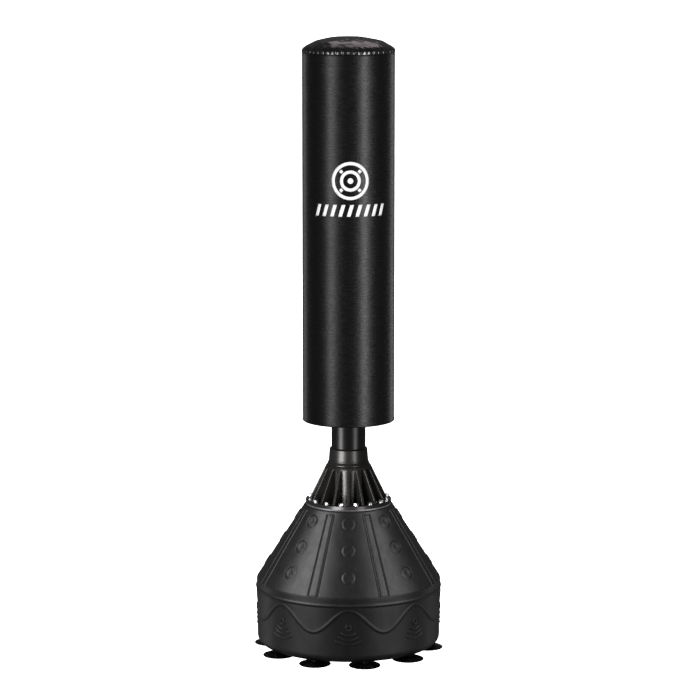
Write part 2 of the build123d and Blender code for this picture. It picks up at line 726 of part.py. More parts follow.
# ---------------------------------------------------------------- cover
with BuildPart() as bag_cover:
    with BuildSketch(Plane.XZ):
        with BuildLine():
            Polyline(
                (COVER_HEM_R, BAG_LOW_Z),
                (BAG_R, BAG_LOW_Z),
                (BAG_R, BAG_SEAM_Z),
                (BAG_INNER_R, BAG_SEAM_Z),
                (BAG_INNER_R, BOARD_LOW_Z),
                (COVER_HEM_R, BOARD_LOW_Z),
                close=True,
            )
        make_face()
    revolve(axis=Axis.Z)
    low_rim = [
        e
        for e in bag_cover.edges().filter_by(GeomType.CIRCLE)
        if abs(e.radius - BAG_R) < 0.01 and e.center().Z < BAG_LOW_Z + 1
    ]
    fillet(low_rim, COVER_EDGE_FILLET)
save(bag_cover, "bag_cover")

with BuildPart() as top_cover:
    with BuildSketch(Plane.XZ):
        with BuildLine():
            Line((BAG_INNER_R, BAG_SEAM_Z), (BAG_R, BAG_SEAM_Z))
            cap_outline(0)
            Line((0, OVERALL_HEIGHT - COVER_THICKNESS), (0, OVERALL_HEIGHT))
            cap_outline(COVER_THICKNESS)
        make_face()
    revolve(axis=Axis.Z)
save(top_cover, "top_cover")

with BuildPart() as back_seam_strip:
    with BuildSketch(Plane.XY.offset(BAG_LOW_Z + STRIP_MARGIN)):
        Circle(BAG_R + STRIP_THICKNESS)
        Circle(BAG_R + FIT_GAP, mode=Mode.SUBTRACT)
        with Locations((0, BAG_R)):
            Rectangle(STRIP_WIDTH, STRIP_WIDTH, mode=Mode.INTERSECT)
    extrude(amount=BAG_SEAM_Z - BAG_LOW_Z - 2 * STRIP_MARGIN)
save(back_seam_strip, "back_seam_strip")
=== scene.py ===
"""The looks of a free-standing heavy bag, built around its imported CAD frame.

Metres, with +Z up and the printed front towards -Y.
An azimuth starts at the front and turns towards +X.
Sizes are in millimetres where they are named, and MM turns them into metres.
"""

import json
from math import acos, cos, degrees, pi, radians, sin, sqrt, tan, tau

import bpy
import numpy as np
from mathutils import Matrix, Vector

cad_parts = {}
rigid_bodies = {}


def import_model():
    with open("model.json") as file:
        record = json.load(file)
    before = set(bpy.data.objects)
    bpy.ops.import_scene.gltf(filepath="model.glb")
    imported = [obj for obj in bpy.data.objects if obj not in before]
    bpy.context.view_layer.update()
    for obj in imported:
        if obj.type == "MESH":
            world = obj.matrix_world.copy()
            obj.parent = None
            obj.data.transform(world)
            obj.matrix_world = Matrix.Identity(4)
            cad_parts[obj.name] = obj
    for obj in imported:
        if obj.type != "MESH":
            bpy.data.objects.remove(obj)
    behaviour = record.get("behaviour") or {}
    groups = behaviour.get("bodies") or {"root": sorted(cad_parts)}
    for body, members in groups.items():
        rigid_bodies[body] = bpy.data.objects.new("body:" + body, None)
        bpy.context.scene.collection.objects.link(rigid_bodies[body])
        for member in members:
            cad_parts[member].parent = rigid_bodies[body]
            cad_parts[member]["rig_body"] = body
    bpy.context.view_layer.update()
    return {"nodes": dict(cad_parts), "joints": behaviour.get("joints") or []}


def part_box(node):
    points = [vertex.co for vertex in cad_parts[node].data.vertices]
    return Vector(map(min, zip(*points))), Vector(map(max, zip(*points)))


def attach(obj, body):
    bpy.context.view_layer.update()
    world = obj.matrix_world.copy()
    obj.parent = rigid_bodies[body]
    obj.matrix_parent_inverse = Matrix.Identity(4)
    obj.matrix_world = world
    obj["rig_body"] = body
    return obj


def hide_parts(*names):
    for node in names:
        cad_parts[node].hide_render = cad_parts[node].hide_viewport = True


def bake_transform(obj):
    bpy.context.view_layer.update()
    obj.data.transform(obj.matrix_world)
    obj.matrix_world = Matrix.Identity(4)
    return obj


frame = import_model()
nodes = frame["nodes"]
SEED = 11
MM = 0.001
METRE = 1000.0


def box_mm(name):
    """A CAD node's lowest and highest corners, in millimetres."""
    return [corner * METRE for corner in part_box(name)]


# Places read from the frame, in millimetres
cover_low, cover_high = box_mm("bag_cover")
tank_low, tank_high = box_mm("base_tank")
spring_low, spring_high = box_mm("main_spring")
flap_low, flap_high = box_mm("back_seam_strip")
BAG_R = cover_high.x
BAG_FOOT_Z = cover_low.z
SEAM_Z = cover_high.z
TANK_FOOT_Z = tank_low.z
TANK_TOP_Z = tank_high.z


# ------------------------ mesh helpers
def smoothstep(start, end, value):
    """0 below start, 1 above end, and a smooth rise between them."""
    share = np.clip((value - start) / (end - start), 0, 1)
    return share * share * (3 - 2 * share)


def between(value, rise, fall):
    """0, with a smooth rise to 1 over one stretch and a smooth fall back to 0 over another."""
    return smoothstep(*rise, value) * (1 - smoothstep(*fall, value))


def round_bump(offset, half_width):
    """1 at offset 0, falling to 0 at half_width on a smooth round crest."""
    return np.cos(np.clip(np.abs(offset) / half_width, 0, 1) * pi / 2) ** 2


def round_axis(radius, azimuth, height):
    """Points at a radius and azimuth (radians) round the Z axis, as an array ending in x, y, z."""
    return np.stack(
        np.broadcast_arrays(
            radius * np.sin(azimuth), -radius * np.cos(azimuth), height
        ),
        axis=-1,
    )


def add_piece(name, points, faces):
    """A smooth-shaded mesh object from points in millimetres."""
    mesh = bpy.data.meshes.new(name)
    metres = np.asarray(points, float).reshape(-1, 3) * MM
    mesh.from_pydata(metres.tolist(), [], [list(face) for face in faces])
    mesh.shade_smooth()
    piece = bpy.data.objects.new(name, mesh)
    bpy.context.scene.collection.objects.link(piece)
    return piece


def grid_faces(rows, columns, rows_close=False, columns_close=True):
    """Quads over a grid of points, counted row by row."""
    row = np.arange(rows if rows_close else rows - 1)[:, None]
    column = np.arange(columns if columns_close else columns - 1)[None, :]
    above, beside = (row + 1) % rows, (column + 1) % columns
    corners = (
        row * columns + column,
        row * columns + beside,
        above * columns + beside,
        above * columns + column,
    )
    return np.stack(corners, axis=-1).reshape(-1, 4).tolist()


def turned_piece(name, grid, rows_close=False):
    """A closed mesh from rings of points, with a pole at each end unless its rows close."""
    rows, columns = grid.shape[:2]
    faces = grid_faces(rows, columns, rows_close)
    points = grid.reshape(-1, 3)
    if not rows_close:
        points = np.vstack([points, grid[0].mean(axis=0), grid[-1].mean(axis=0)])
        last = (rows - 1) * columns
        for column in range(columns):
            beside = (column + 1) % columns
            faces.append((beside, column, rows * columns))
            faces.append((last + column, last + beside, rows * columns + 1))
    return add_piece(name, points, faces)


def arc_points(centre, radius, start, end, steps):
    """Points of an arc in a section plane between two angles in degrees, both included."""
    angle = np.radians(np.linspace(start, end, steps + 1))
    return np.stack(
        [centre[0] + radius * np.cos(angle), centre[1] + radius * np.sin(angle)], -1
    )


def line_points(start, end, steps):
    """Points of a straight stretch in a section plane, both ends included."""
    return np.linspace(start, end, steps + 1)


def joined(name, parts):
    """One piece from several (points, faces) pairs in millimetres."""
    points, faces, count = [], [], 0
    for part_points, part_faces in parts:
        points.append(np.asarray(part_points, float).reshape(-1, 3))
        faces += [[corner + count for corner in face] for face in part_faces]
        count += len(points[-1])
    return add_piece(name, np.vstack(points), faces)


def tube_part(route, out, half_width, half_height, sides=10, taper=True):
    """A rounded bead along a route, half_height proud along out and half_width to each side."""
    ahead = np.gradient(route, axis=0)
    ahead /= np.linalg.norm(ahead, axis=1, keepdims=True)
    across = np.cross(ahead, out)
    turn = np.arange(sides) * tau / sides
    size = np.ones(len(route))
    if taper:
        size[[0, -1]] = 0.45
        size[[1, -2]] = 0.85
    ring = (
        across[:, None, :] * (np.cos(turn) * half_width)[None, :, None]
        + out[:, None, :] * (np.sin(turn) * half_height)[None, :, None]
    )
    points = (route[:, None, :] + ring * size[:, None, None]).reshape(-1, 3)
    faces = grid_faces(len(route), sides)
    faces.append(list(range(sides))[::-1])
    faces.append([(len(route) - 1) * sides + side for side in range(sides)])
    return points, faces


def film_part(upper, lower):
    """A thin closed film between two open grids of points, one above the other."""
    rows, columns = upper.shape[:2]
    count = rows * columns
    points = np.concatenate([upper.reshape(-1, 3), lower.reshape(-1, 3)])
    top = grid_faces(rows, columns, columns_close=False)
    faces = top + [[corner + count for corner in face][::-1] for face in top]
    border = (
        list(range(columns))
        + [row * columns + columns - 1 for row in range(1, rows)]
        + [(rows - 1) * columns + column for column in range(columns - 2, -1, -1)]
        + [row * columns for row in range(rows - 2, 0, -1)]
    )
    for here, there in zip(border, border[1:] + border[:1]):
        faces.append((there, here, here + count, there + count))
    return points, faces


# ------------------------ materials
class Look:
    """A Principled material, with the few node patterns that the pieces share."""

    def __init__(self, slot, colour, roughness, **sockets):
        self.material = bpy.data.materials.new(f"{slot}_look")
        self.material.use_nodes = True
        self.tree = self.material.node_tree
        self.shader = self.tree.nodes["Principled BSDF"]
        self.place = self.add("TexCoord").outputs["Object"]
        self.normal = None
        self.shader.inputs["Base Color"].default_value = (*colour, 1)
        self.shader.inputs["Roughness"].default_value = roughness
        for name, value in sockets.items():
            self.shader.inputs[name.replace("_", " ")].default_value = value

    def add(self, kind, inputs=None, **settings):
        """A new node, with its settings and with its inputs set or linked."""
        node = self.tree.nodes.new(f"ShaderNode{kind}")
        for name, value in settings.items():
            setattr(node, name, value)
        for name, value in (inputs or {}).items():
            if isinstance(value, bpy.types.NodeSocket):
                self.tree.links.new(value, node.inputs[name])
            else:
                node.inputs[name].default_value = value
        return node

    def math(self, operation, *values):
        return self.add("Math", dict(enumerate(values)), operation=operation).outputs[0]

    def noise(self, size, detail=3.0, stretch=(1, 1, 1), place=None):
        """Noise with features about size metres across, longer along an axis stretched below 1."""
        spread = self.add("Mapping", {"Vector": place or self.place, "Scale": stretch})
        settings = {"Vector": spread.outputs[0], "Scale": 1 / size, "Detail": detail}
        return self.add("TexNoise", settings).outputs["Fac"]

    def pebbles(self, size):
        """Rounded leather grain with creases between its cells, which are size metres across."""
        settings = {"Vector": self.place, "Scale": 1 / size, "Smoothness": 0.6}
        cells = self.add("TexVoronoi", settings, feature="SMOOTH_F1")
        return self.math("SUBTRACT", 1.0, cells.outputs["Distance"])

    def unrolled(self, radius):
        """A sleeve of that radius laid flat: metres round it from the front, and metres up."""
        split = self.add("SeparateXYZ", {0: self.place})
        front = self.math("MULTIPLY", split.outputs["Y"], -1.0)
        azimuth = self.math("ARCTAN2", split.outputs["X"], front)
        around = self.math("MULTIPLY", azimuth, radius)
        flat = self.add("CombineXYZ", {"X": around, "Y": split.outputs["Z"]})
        return flat.outputs[0]

    def span(self, value, low, high, start=0.3, end=0.7):
        """A value rescaled from start..end to low..high."""
        settings = {
            "Value": value,
            "From Min": start,
            "From Max": end,
            "To Min": low,
            "To Max": high,
        }
        return self.add("MapRange", settings).outputs[0]

    def vary_colour(self, value, dark, light):
        mix = self.add("Mix", {0: value}, data_type="RGBA")
        mix.inputs[6].default_value = (*dark, 1)
        mix.inputs[7].default_value = (*light, 1)
        self.tree.links.new(mix.outputs[2], self.shader.inputs["Base Color"])
        return self

    def vary_roughness(self, value, low, high):
        rough = self.span(value, low, high)
        self.tree.links.new(rough, self.shader.inputs["Roughness"])
        return self

    def bump(self, height, depth):
        """Relief of that depth in metres, on top of any bump before it."""
        settings = {"Height": height, "Distance": depth, "Strength": 1.0}
        if self.normal is not None:
            settings["Normal"] = self.normal
        self.normal = self.add("Bump", settings).outputs[0]
        self.tree.links.new(self.normal, self.shader.inputs["Normal"])
        return self


def grey(value, warmth=0.0):
    return (value * (1 + warmth), value, value * (1 - warmth))


def moulded(slot, tone, roughness, grain_size, grain_depth, warmth=0.0):
    """Black moulded plastic or rubber: a fine grain, handling marks and a slightly uneven tone."""
    look = Look(slot, grey(tone, warmth), roughness)
    cloudy = look.noise(60 * MM, detail=4)
    look.vary_colour(
        look.span(cloudy, 0, 1), grey(tone * 0.82, warmth), grey(tone * 1.2, warmth)
    )
    rubbed = look.noise(14 * MM, detail=6, stretch=(1, 1, 0.35))
    look.vary_roughness(rubbed, roughness * 0.9, roughness * 1.12)
    look.bump(look.noise(grain_size * MM, detail=2), grain_depth * MM)
    return look


def metal(slot, colour, roughness, brush):
    """Metal with fine brushed or turned marks and patches of duller finish."""
    look = Look(slot, colour, roughness, Metallic=1.0)
    patches = look.noise(9 * MM, detail=5)
    dull = tuple(part * 0.72 for part in colour)
    look.vary_colour(look.span(patches, 0, 1), dull, colour)
    marks = look.noise(0.8 * MM, detail=4, stretch=brush)
    look.vary_roughness(marks, roughness * 0.75, roughness * 1.35)
    look.bump(marks, 0.02 * MM)
    return look


def woven_cover():
    """Black coated cloth, embossed with rows of short level dashes and stray flecks across them."""
    look = Look("cover_leather", grey(0.006), 0.3, Specular_IOR_Level=0.5)
    flat = look.unrolled(BAG_R * MM)
    rows = look.add(
        "TexBrick",
        {
            "Vector": flat,
            "Color1": (0.25, 0.25, 0.25, 1),
            "Color2": (1, 1, 1, 1),
            "Mortar": (0, 0, 0, 1),
            "Scale": 1.0,
            "Mortar Size": 0.35 * MM,
            "Mortar Smooth": 0.9,
            "Brick Width": 9 * MM,
            "Row Height": 2.1 * MM,
        },
        offset=0.37,
        offset_frequency=2,
    )
    creases = look.noise(2.8 * MM, detail=2, stretch=(0.13, 1, 1), place=flat)
    slanted = look.add(
        "Mapping", {"Vector": flat, "Rotation": (0, 0, radians(24))}
    ).outputs[0]
    flecks = look.noise(2.6 * MM, detail=2, stretch=(0.12, 1.1, 1), place=slanted)
    look.vary_colour(look.span(creases, 0, 1), grey(0.0045), grey(0.0075))
    look.vary_roughness(creases, 0.25, 0.36)
    look.bump(rows.outputs["Color"], 0.07 * MM)
    look.bump(creases, 0.17 * MM)
    look.bump(look.span(flecks, 0, 1, 0.5, 0.75), 0.08 * MM)
    return look


def glossy_leather():
    """Shiny black leather with pebbled grain and fine stretch lines."""
    look = Look(
        "top_leather", grey(0.009), 0.22, Coat_Weight=0.6, Coat_Roughness=0.10
    )
    worn = look.noise(18 * MM, detail=5)
    look.vary_colour(look.span(worn, 0, 1), grey(0.006), grey(0.013))
    look.vary_roughness(worn, 0.16, 0.28)
    look.bump(look.pebbles(1.6 * MM), 0.10 * MM)
    look.bump(look.noise(6 * MM, detail=4), 0.25 * MM)
    return look


def printed_ink():
    """Matt white screen print that has sunk a little into the grain of the cover."""
    look = Look("print_ink", grey(0.86), 0.5)
    mottle = look.noise(4 * MM, detail=6)
    look.vary_colour(look.span(mottle, 0, 1, 0.25, 0.5), grey(0.70), grey(0.88))
    flat = look.unrolled(BAG_R * MM)
    streaks = look.noise(5.0 * MM, detail=3, stretch=(0.2, 1, 1), place=flat)
    look.vary_roughness(streaks, 0.42, 0.58)
    look.bump(streaks, 0.2 * MM)
    return look


def thread():
    """Twisted polyester sewing thread."""
    look = Look("stitch_thread", grey(0.008), 0.6, Specular_IOR_Level=0.25)
    twist = look.noise(0.9 * MM, detail=2, stretch=(1, 1, 0.4))
    look.vary_colour(look.span(twist, 0, 1), grey(0.005), grey(0.014))
    look.bump(twist, 0.12 * MM)
    return look


def foam():
    look = Look("foam_padding", (0.16, 0.16, 0.17), 0.9)
    cells = look.pebbles(2.5 * MM)
    look.vary_colour(look.span(cells, 0, 1), (0.11, 0.11, 0.12), (0.20, 0.20, 0.21))
    look.bump(cells, 0.5 * MM)
    return look


def plywood():
    look = Look("board_wood", (0.42, 0.28, 0.16), 0.6)
    grain = look.noise(8 * MM, detail=7, stretch=(0.1, 1, 1.6))
    look.vary_colour(look.span(grain, 0, 1), (0.30, 0.18, 0.09), (0.50, 0.35, 0.20))
    look.vary_roughness(grain, 0.5, 0.7)
    look.bump(grain, 0.15 * MM)
    return look


def water():
    look = Look(
        "ballast_water", (0.75, 0.86, 0.9), 0.05, IOR=1.33, Transmission_Weight=0.9
    )
    look.vary_roughness(look.noise(40 * MM), 0.03, 0.08)
    look.bump(look.noise(70 * MM, detail=1), 1.0 * MM)
    return look


# Tone, roughness, size and depth of the grain in millimetres, and warmth
MOULDED = {
    "tank_plastic": (0.010, 0.40, 1.1, 0.06),
    "housing_plastic": (0.010, 0.25, 0.9, 0.03, 0.04),
    "collar_plastic": (0.010, 0.31, 0.9, 0.02, 0.04),
    "tube_plastic": (0.008, 0.31, 1.2, 0.02),
    "cap_plastic": (0.014, 0.34, 0.8, 0.03),
    "spacer_plastic": (0.09, 0.45, 1.0, 0.04),
    "gasket_rubber": (0.016, 0.6, 0.7, 0.04),
    "buffer_rubber": (0.018, 0.55, 0.9, 0.05),
    "cup_rubber": (0.012, 0.26, 1.0, 0.02),
}
# Colour, roughness and the stretch of the brushed marks, which are longest where it is lowest
METALS = {
    "zinc_steel": ((0.80, 0.81, 0.84), 0.26, (1, 1, 0.3)),
    "insert_brass": ((0.80, 0.58, 0.28), 0.35, (1, 1, 0.2)),
    "plate_steel": ((0.42, 0.42, 0.44), 0.45, (0.2, 1, 1)),
    "machined_steel": ((0.6, 0.6, 0.62), 0.25, (1, 1, 6)),
    "ball_steel": ((0.72, 0.72, 0.74), 0.12, (1, 1, 4)),
    "spring_steel": ((0.24, 0.24, 0.26), 0.38, (1, 1, 1)),
    "post_steel": ((0.5, 0.5, 0.52), 0.35, (1, 1, 0.1)),
}
looks = {
    "cover_leather": woven_cover(),
    "top_leather": glossy_leather(),
    "foam_padding": foam(),
    "board_wood": plywood(),
    "ballast_water": water(),
}
looks |= {slot: moulded(slot, *values) for slot, values in MOULDED.items()}
looks |= {slot: metal(slot, *values) for slot, values in METALS.items()}
ink = printed_ink()
stitching = thread()

for node in nodes.values():
    for slot in node.material_slots:
        slot.material = looks[slot.material.name].material


def finish_piece(piece, body, slot, *replaced, look=None):
    """Gives a piece its finish and body, and hides the CAD nodes that it stands for."""
    piece.data.materials.append((look or looks[slot]).material)
    if body:
        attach(piece, body)
    if replaced:
        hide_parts(*replaced)
    return piece


# ------------------------ base tank
TANK_R = 262.0
FOOT_FILLET = 22.0
TANK_WALL = 5.0
SKIRT_TOP_R, SKIRT_TOP_Z = 264.5, 172.5
BEAD_Z, BEAD_HEIGHT = 180.5, 2.6
SHOULDER_R, SHOULDER_FOOT_Z, SHOULDER_Z = 264.0, 188.5, 203.0
TANK_TOP_R = 124.5
TANK_HOLE_R, TANK_HOLE_DEPTH = 28.0, 12.0
PANELS = 8
STUD_HEIGHTS = (253.0, 321.0, 388.0)
STUD_R, STUD_HEIGHT, STUD_EDGE = 18.5, 2.3, 2.6
SEAM_HALF_TOP, SEAM_HALF_FOOT = 11.0, 15.0
SEAM_HIGH_Z, SEAM_LOW_Z = 412.0, 205.0
GROOVE_HALF, GROOVE_DEPTH = 2.6, 2.6
STRIP_RISE = 1.3
BEAD_HALF = 6.0
WAVE_Z, WAVE_HEIGHT = 134.5, 32.0
WAVE_HALF, WAVE_RISE = 6.5, 1.6
WAVE_BAND = 19.0
TANK_WAVER = 0.35
TANK_CORNER = 3.0
FILLER_BOSS_R, FILLER_BOSS_RISE = 30.0, 4.0
PITCH = tau / PANELS
# Which moulded details a row of the tank's outline carries
NO_DETAIL, SKIRT_DETAIL, BEAD_DETAIL, CONE_DETAIL = range(4)
(filler_joint,) = (
    joint for joint in frame["joints"] if joint["name"] == "filler_cap_turn"
)
filler_axis = Vector(filler_joint["axis"])
filler_foot = Vector(filler_joint["pos_m"]) * METRE
FILLER_Z = filler_foot.z

cone_run = SHOULDER_R - TANK_TOP_R
cone_rise = TANK_TOP_Z - SHOULDER_Z
cone_length = sqrt(cone_run**2 + cone_rise**2)
CONE_OUT_R, CONE_OUT_Z = cone_rise / cone_length, cone_run / cone_length


def cone_radius(height):
    return SHOULDER_R - (height - SHOULDER_Z) * cone_run / cone_rise


def seam_half(height):
    """Half the distance between the two grooves of a seam."""
    share = np.clip((height - SEAM_LOW_Z) / (SEAM_HIGH_Z - SEAM_LOW_Z), 0, 1)
    return SEAM_HALF_FOOT + (SEAM_HALF_TOP - SEAM_HALF_FOOT) * share


def tank_columns(radius, height):
    """Azimuths of the tank's columns on each row, which crowd along the seams' grooves."""
    spots = np.array([-3.0, -2.2, -1.5, -0.8, 0, 0.8, 1.5, 2.2, 3.0]) / 2.6
    half = seam_half(height)[:, None]
    strip = half * np.array([0, 0.3, 0.6])
    groove = half + spots * GROOVE_HALF
    edge = groove[:, -1:]
    panel_half = pi / PANELS * radius[:, None]
    panel_steps = 28
    panel = edge + (panel_half - edge) * np.arange(1, panel_steps) / panel_steps
    side = np.concatenate([strip, groove, panel], axis=1) / radius[:, None]
    middle = np.full((len(radius), 1), PITCH / 2)
    octant = np.concatenate([side, middle, PITCH - side[:, :0:-1]], axis=1)
    seams = PITCH / 2 + PITCH * np.arange(PANELS)
    return (seams[None, :, None] + octant[:, None, :]).reshape(len(radius), -1)


def stud_rise(distance):
    """A raised disc with a rounded edge, a little dished, with a shallow moat round it."""
    moat_half, dip = 2.6, 0.45
    plateau = 1 - smoothstep(STUD_R - STUD_EDGE, STUD_R, distance)
    dish = dip * round_bump(distance, STUD_R - STUD_EDGE)
    moat = dip * round_bump(distance - STUD_R - 0.6, moat_half)
    return STUD_HEIGHT * (plateau - dish - moat)


def seam_relief(from_seam, height):
    """A seam's raised strip between its two grooves, which run out at both ends."""
    half = seam_half(height)
    low_end, high_end = (SEAM_LOW_Z - 3, SEAM_LOW_Z + 1), (SEAM_HIGH_Z - 5, SEAM_HIGH_Z)
    run_out = between(height, low_end, high_end)
    groove = round_bump(np.abs(from_seam) - half, GROOVE_HALF)
    strip = 1 - smoothstep(half - 4.5, half - 1.5, np.abs(from_seam))
    return run_out * (STRIP_RISE * strip - GROOVE_DEPTH * groove)


def cone_relief(azimuth, height):
    """How far the cone's moulded details stand out of it, in millimetres."""
    radius = cone_radius(height)
    from_seam = (azimuth % PITCH - PITCH / 2) * radius
    from_panel = ((azimuth + PITCH / 2) % PITCH - PITCH / 2) * radius
    relief = seam_relief(from_seam, height)
    behind = np.cos(azimuth) < -cos(PITCH / 2)

    def from_spot(spot_z):
        return np.sqrt(from_panel**2 + ((height - spot_z) / CONE_OUT_R) ** 2)

    for stud_z in STUD_HEIGHTS:
        # the filler takes the place of the upper two studs at the back
        left_out = behind & (stud_z > STUD_HEIGHTS[0])
        relief += np.where(left_out, 0, stud_rise(from_spot(stud_z)))
    boss = 1 - smoothstep(FILLER_BOSS_R - 3, FILLER_BOSS_R, from_spot(FILLER_Z))
    return relief + np.where(behind, FILLER_BOSS_RISE * boss, 0)


def soft_waver(azimuth, height, amount):
    """The slight unevenness of a blown or stretched wall."""
    return amount * (
        np.sin(3 * azimuth + 0.021 * height + 0.6) * 0.4
        + np.sin(11 * azimuth - 0.043 * height + 2.1) * 0.35
        + np.sin(19 * azimuth + 0.062 * height + 4.0) * 0.25
    )


def tank_outline():
    """The tank's outer section from its underside up, as (radius, height, out_r, out_z, detail)."""
    rows = []

    def add_rows(points, outs, detail):
        for point, out in zip(points, outs):
            rows.append((*point, *out, detail))

    foot_centre = (TANK_R - FOOT_FILLET, TANK_FOOT_Z + FOOT_FILLET)
    foot = arc_points(foot_centre, FOOT_FILLET, -90, 0, 7)
    underside_end = (TANK_R - FOOT_FILLET - 6, TANK_FOOT_Z)
    underside = line_points((120, TANK_FOOT_Z), underside_end, 2)
    add_rows(underside, [(0, -1)] * 3, NO_DETAIL)
    add_rows(foot, (foot - foot_centre) / FOOT_FILLET, NO_DETAIL)
    skirt = line_points(foot[-1], (SKIRT_TOP_R, SKIRT_TOP_Z), 36)
    add_rows(skirt[1:], [(1, 0)] * 36, SKIRT_DETAIL)
    bead = line_points(skirt[-1], (SHOULDER_R, SHOULDER_FOOT_Z), 12)
    add_rows(bead[1:], [(1, 0)] * 12, BEAD_DETAIL)
    shoulder = line_points(bead[-1], (SHOULDER_R, SHOULDER_Z - TANK_CORNER), 4)
    add_rows(shoulder[1:], [(1, 0)] * 4, NO_DETAIL)
    tilt = degrees(acos(CONE_OUT_R))
    reach = TANK_CORNER / tan(radians(tilt / 2))
    centre = (SHOULDER_R - reach, SHOULDER_Z - TANK_CORNER)
    edge = arc_points(centre, reach, 0, tilt, 4)
    add_rows(edge[1:], (edge[1:] - centre) / reach, CONE_DETAIL)
    down_cone = TANK_CORNER * np.array((-CONE_OUT_Z, CONE_OUT_R))
    stop = np.array((TANK_TOP_R, TANK_TOP_Z)) - down_cone
    cone = line_points(edge[-1], stop, 84)
    add_rows(cone[1:], [(CONE_OUT_R, CONE_OUT_Z)] * 84, CONE_DETAIL)
    rounding = line_points(stop, (TANK_TOP_R - 2.0, TANK_TOP_Z), 3)
    add_rows(rounding[1:], [(0.5, 0.86)] * 3, NO_DETAIL)
    return rows


def wave_rows(height, wave, half):
    """The skirt's row heights, moved so that rows run along its wavy ridge."""
    skirt_foot = TANK_FOOT_Z + FOOT_FILLET
    flat_low, flat_high = WAVE_Z - WAVE_BAND, WAVE_Z + WAVE_BAND
    wave_low = wave - half
    wave_high = np.minimum(wave + half, SKIRT_TOP_Z - 0.6)
    low_share = (height - skirt_foot) / (flat_low - skirt_foot)
    high_share = (height - flat_high) / (SKIRT_TOP_Z - flat_high)
    below = skirt_foot + low_share * (wave_low - skirt_foot)
    above = wave_high + high_share * (SKIRT_TOP_Z - wave_high)
    along = wave + (height - WAVE_Z) / WAVE_BAND * half
    warped = np.where(height < flat_low, below, np.where(height > flat_high, above, along))
    return np.minimum(warped, SKIRT_TOP_Z)


def tank_lining():
    """The lid, its open hole, and the plain inner wall, as (radius, height) from the rim inwards."""
    return [
        (60.0, TANK_TOP_Z),
        (TANK_HOLE_R + 1, TANK_TOP_Z),
        (TANK_HOLE_R, TANK_TOP_Z - 1),
        (TANK_HOLE_R, TANK_TOP_Z - TANK_HOLE_DEPTH),
        (60.0, TANK_TOP_Z - TANK_HOLE_DEPTH),
        (TANK_TOP_R - TANK_WALL, TANK_TOP_Z - TANK_HOLE_DEPTH),
        (SHOULDER_R - 1.6 * TANK_WALL, SHOULDER_Z - TANK_WALL),
        (TANK_R - TANK_WALL, TANK_FOOT_Z + FOOT_FILLET),
        (TANK_R - FOOT_FILLET, TANK_FOOT_Z + TANK_WALL),
        (90.0, TANK_FOOT_Z + TANK_WALL),
    ]


def tank_shell():
    """The whole blow-moulded tank: its outer wall with all its relief, and its inner wall."""
    rows = np.array(tank_outline())
    radius, height, out_r, out_z, detail = (rows[:, k : k + 1] for k in range(5))
    level = np.clip(rows[:, 1], SHOULDER_Z, TANK_TOP_Z)
    azimuth = tank_columns(np.maximum(cone_radius(level), TANK_TOP_R), level)
    height = np.repeat(height, azimuth.shape[1], 1)
    proud = np.where(detail == CONE_DETAIL, cone_relief(azimuth, height), 0)
    waver = soft_waver(azimuth, height, TANK_WAVER) * smoothstep(30, 60, height)
    proud = proud + waver * (detail > NO_DETAIL)
    bead = BEAD_HEIGHT * round_bump(height - BEAD_Z, BEAD_HALF)
    proud = proud + np.where(detail == BEAD_DETAIL, bead, 0)
    wave = WAVE_Z + WAVE_HEIGHT * np.cos(PANELS * azimuth)
    slope = WAVE_HEIGHT * PANELS / TANK_R * np.sin(PANELS * azimuth)
    half = WAVE_HALF * np.sqrt(1 + slope**2)
    height = np.where(detail == SKIRT_DETAIL, wave_rows(height, wave, half), height)
    ridge = WAVE_RISE * round_bump(height - wave, half)
    proud = proud + np.where(detail == SKIRT_DETAIL, ridge, 0)
    outer = round_axis(radius + proud * out_r, azimuth, height + proud * out_z)
    inner = np.stack([round_axis(r, azimuth[-1], z) for r, z in tank_lining()])
    return turned_piece("tank_shell", np.concatenate([outer, inner]))


tank = tank_shell()
finish_piece(tank, "base", "tank_plastic", "base_tank")


def skirt_radius(height):
    foot = TANK_FOOT_Z + FOOT_FILLET
    share = (height - foot) / (SKIRT_TOP_Z - foot)
    return TANK_R + (SKIRT_TOP_R - TANK_R) * share


def on_skirt(azimuth, across, height):
    """Points on the skirt, across millimetres to the right of an azimuth, and the way out of it."""
    turn = azimuth + across / TANK_R
    out = round_axis(1.0, turn, 0.0 * turn)
    return round_axis(skirt_radius(height), turn, height), out


def skirt_motifs():
    """Under each crest of the wave, a small ring with three arcs spreading below it."""
    ring_centre_z, ring_r, arc_stretch = 117.0, 7.5, 1.15
    bead_half, bead_rise = 2.4, 1.7
    lines = [(ring_r, 0, 360), (22, 214, 326), (35, 222, 318), (48, 228, 312)]
    parts = []
    for panel in range(PANELS):
        for radius, start, end in lines:
            angle = np.radians(np.linspace(start, end, 40))
            is_arc = radius > ring_r
            across = radius * np.cos(angle) * (arc_stretch if is_arc else 1)
            height = ring_centre_z + radius * np.sin(angle)
            route, out = on_skirt(panel * PITCH, across, height)
            parts.append(tube_part(route, out, bead_half, bead_rise, taper=is_arc))
    return joined("skirt_motifs", parts)


finish_piece(skirt_motifs(), "base", "tank_plastic")

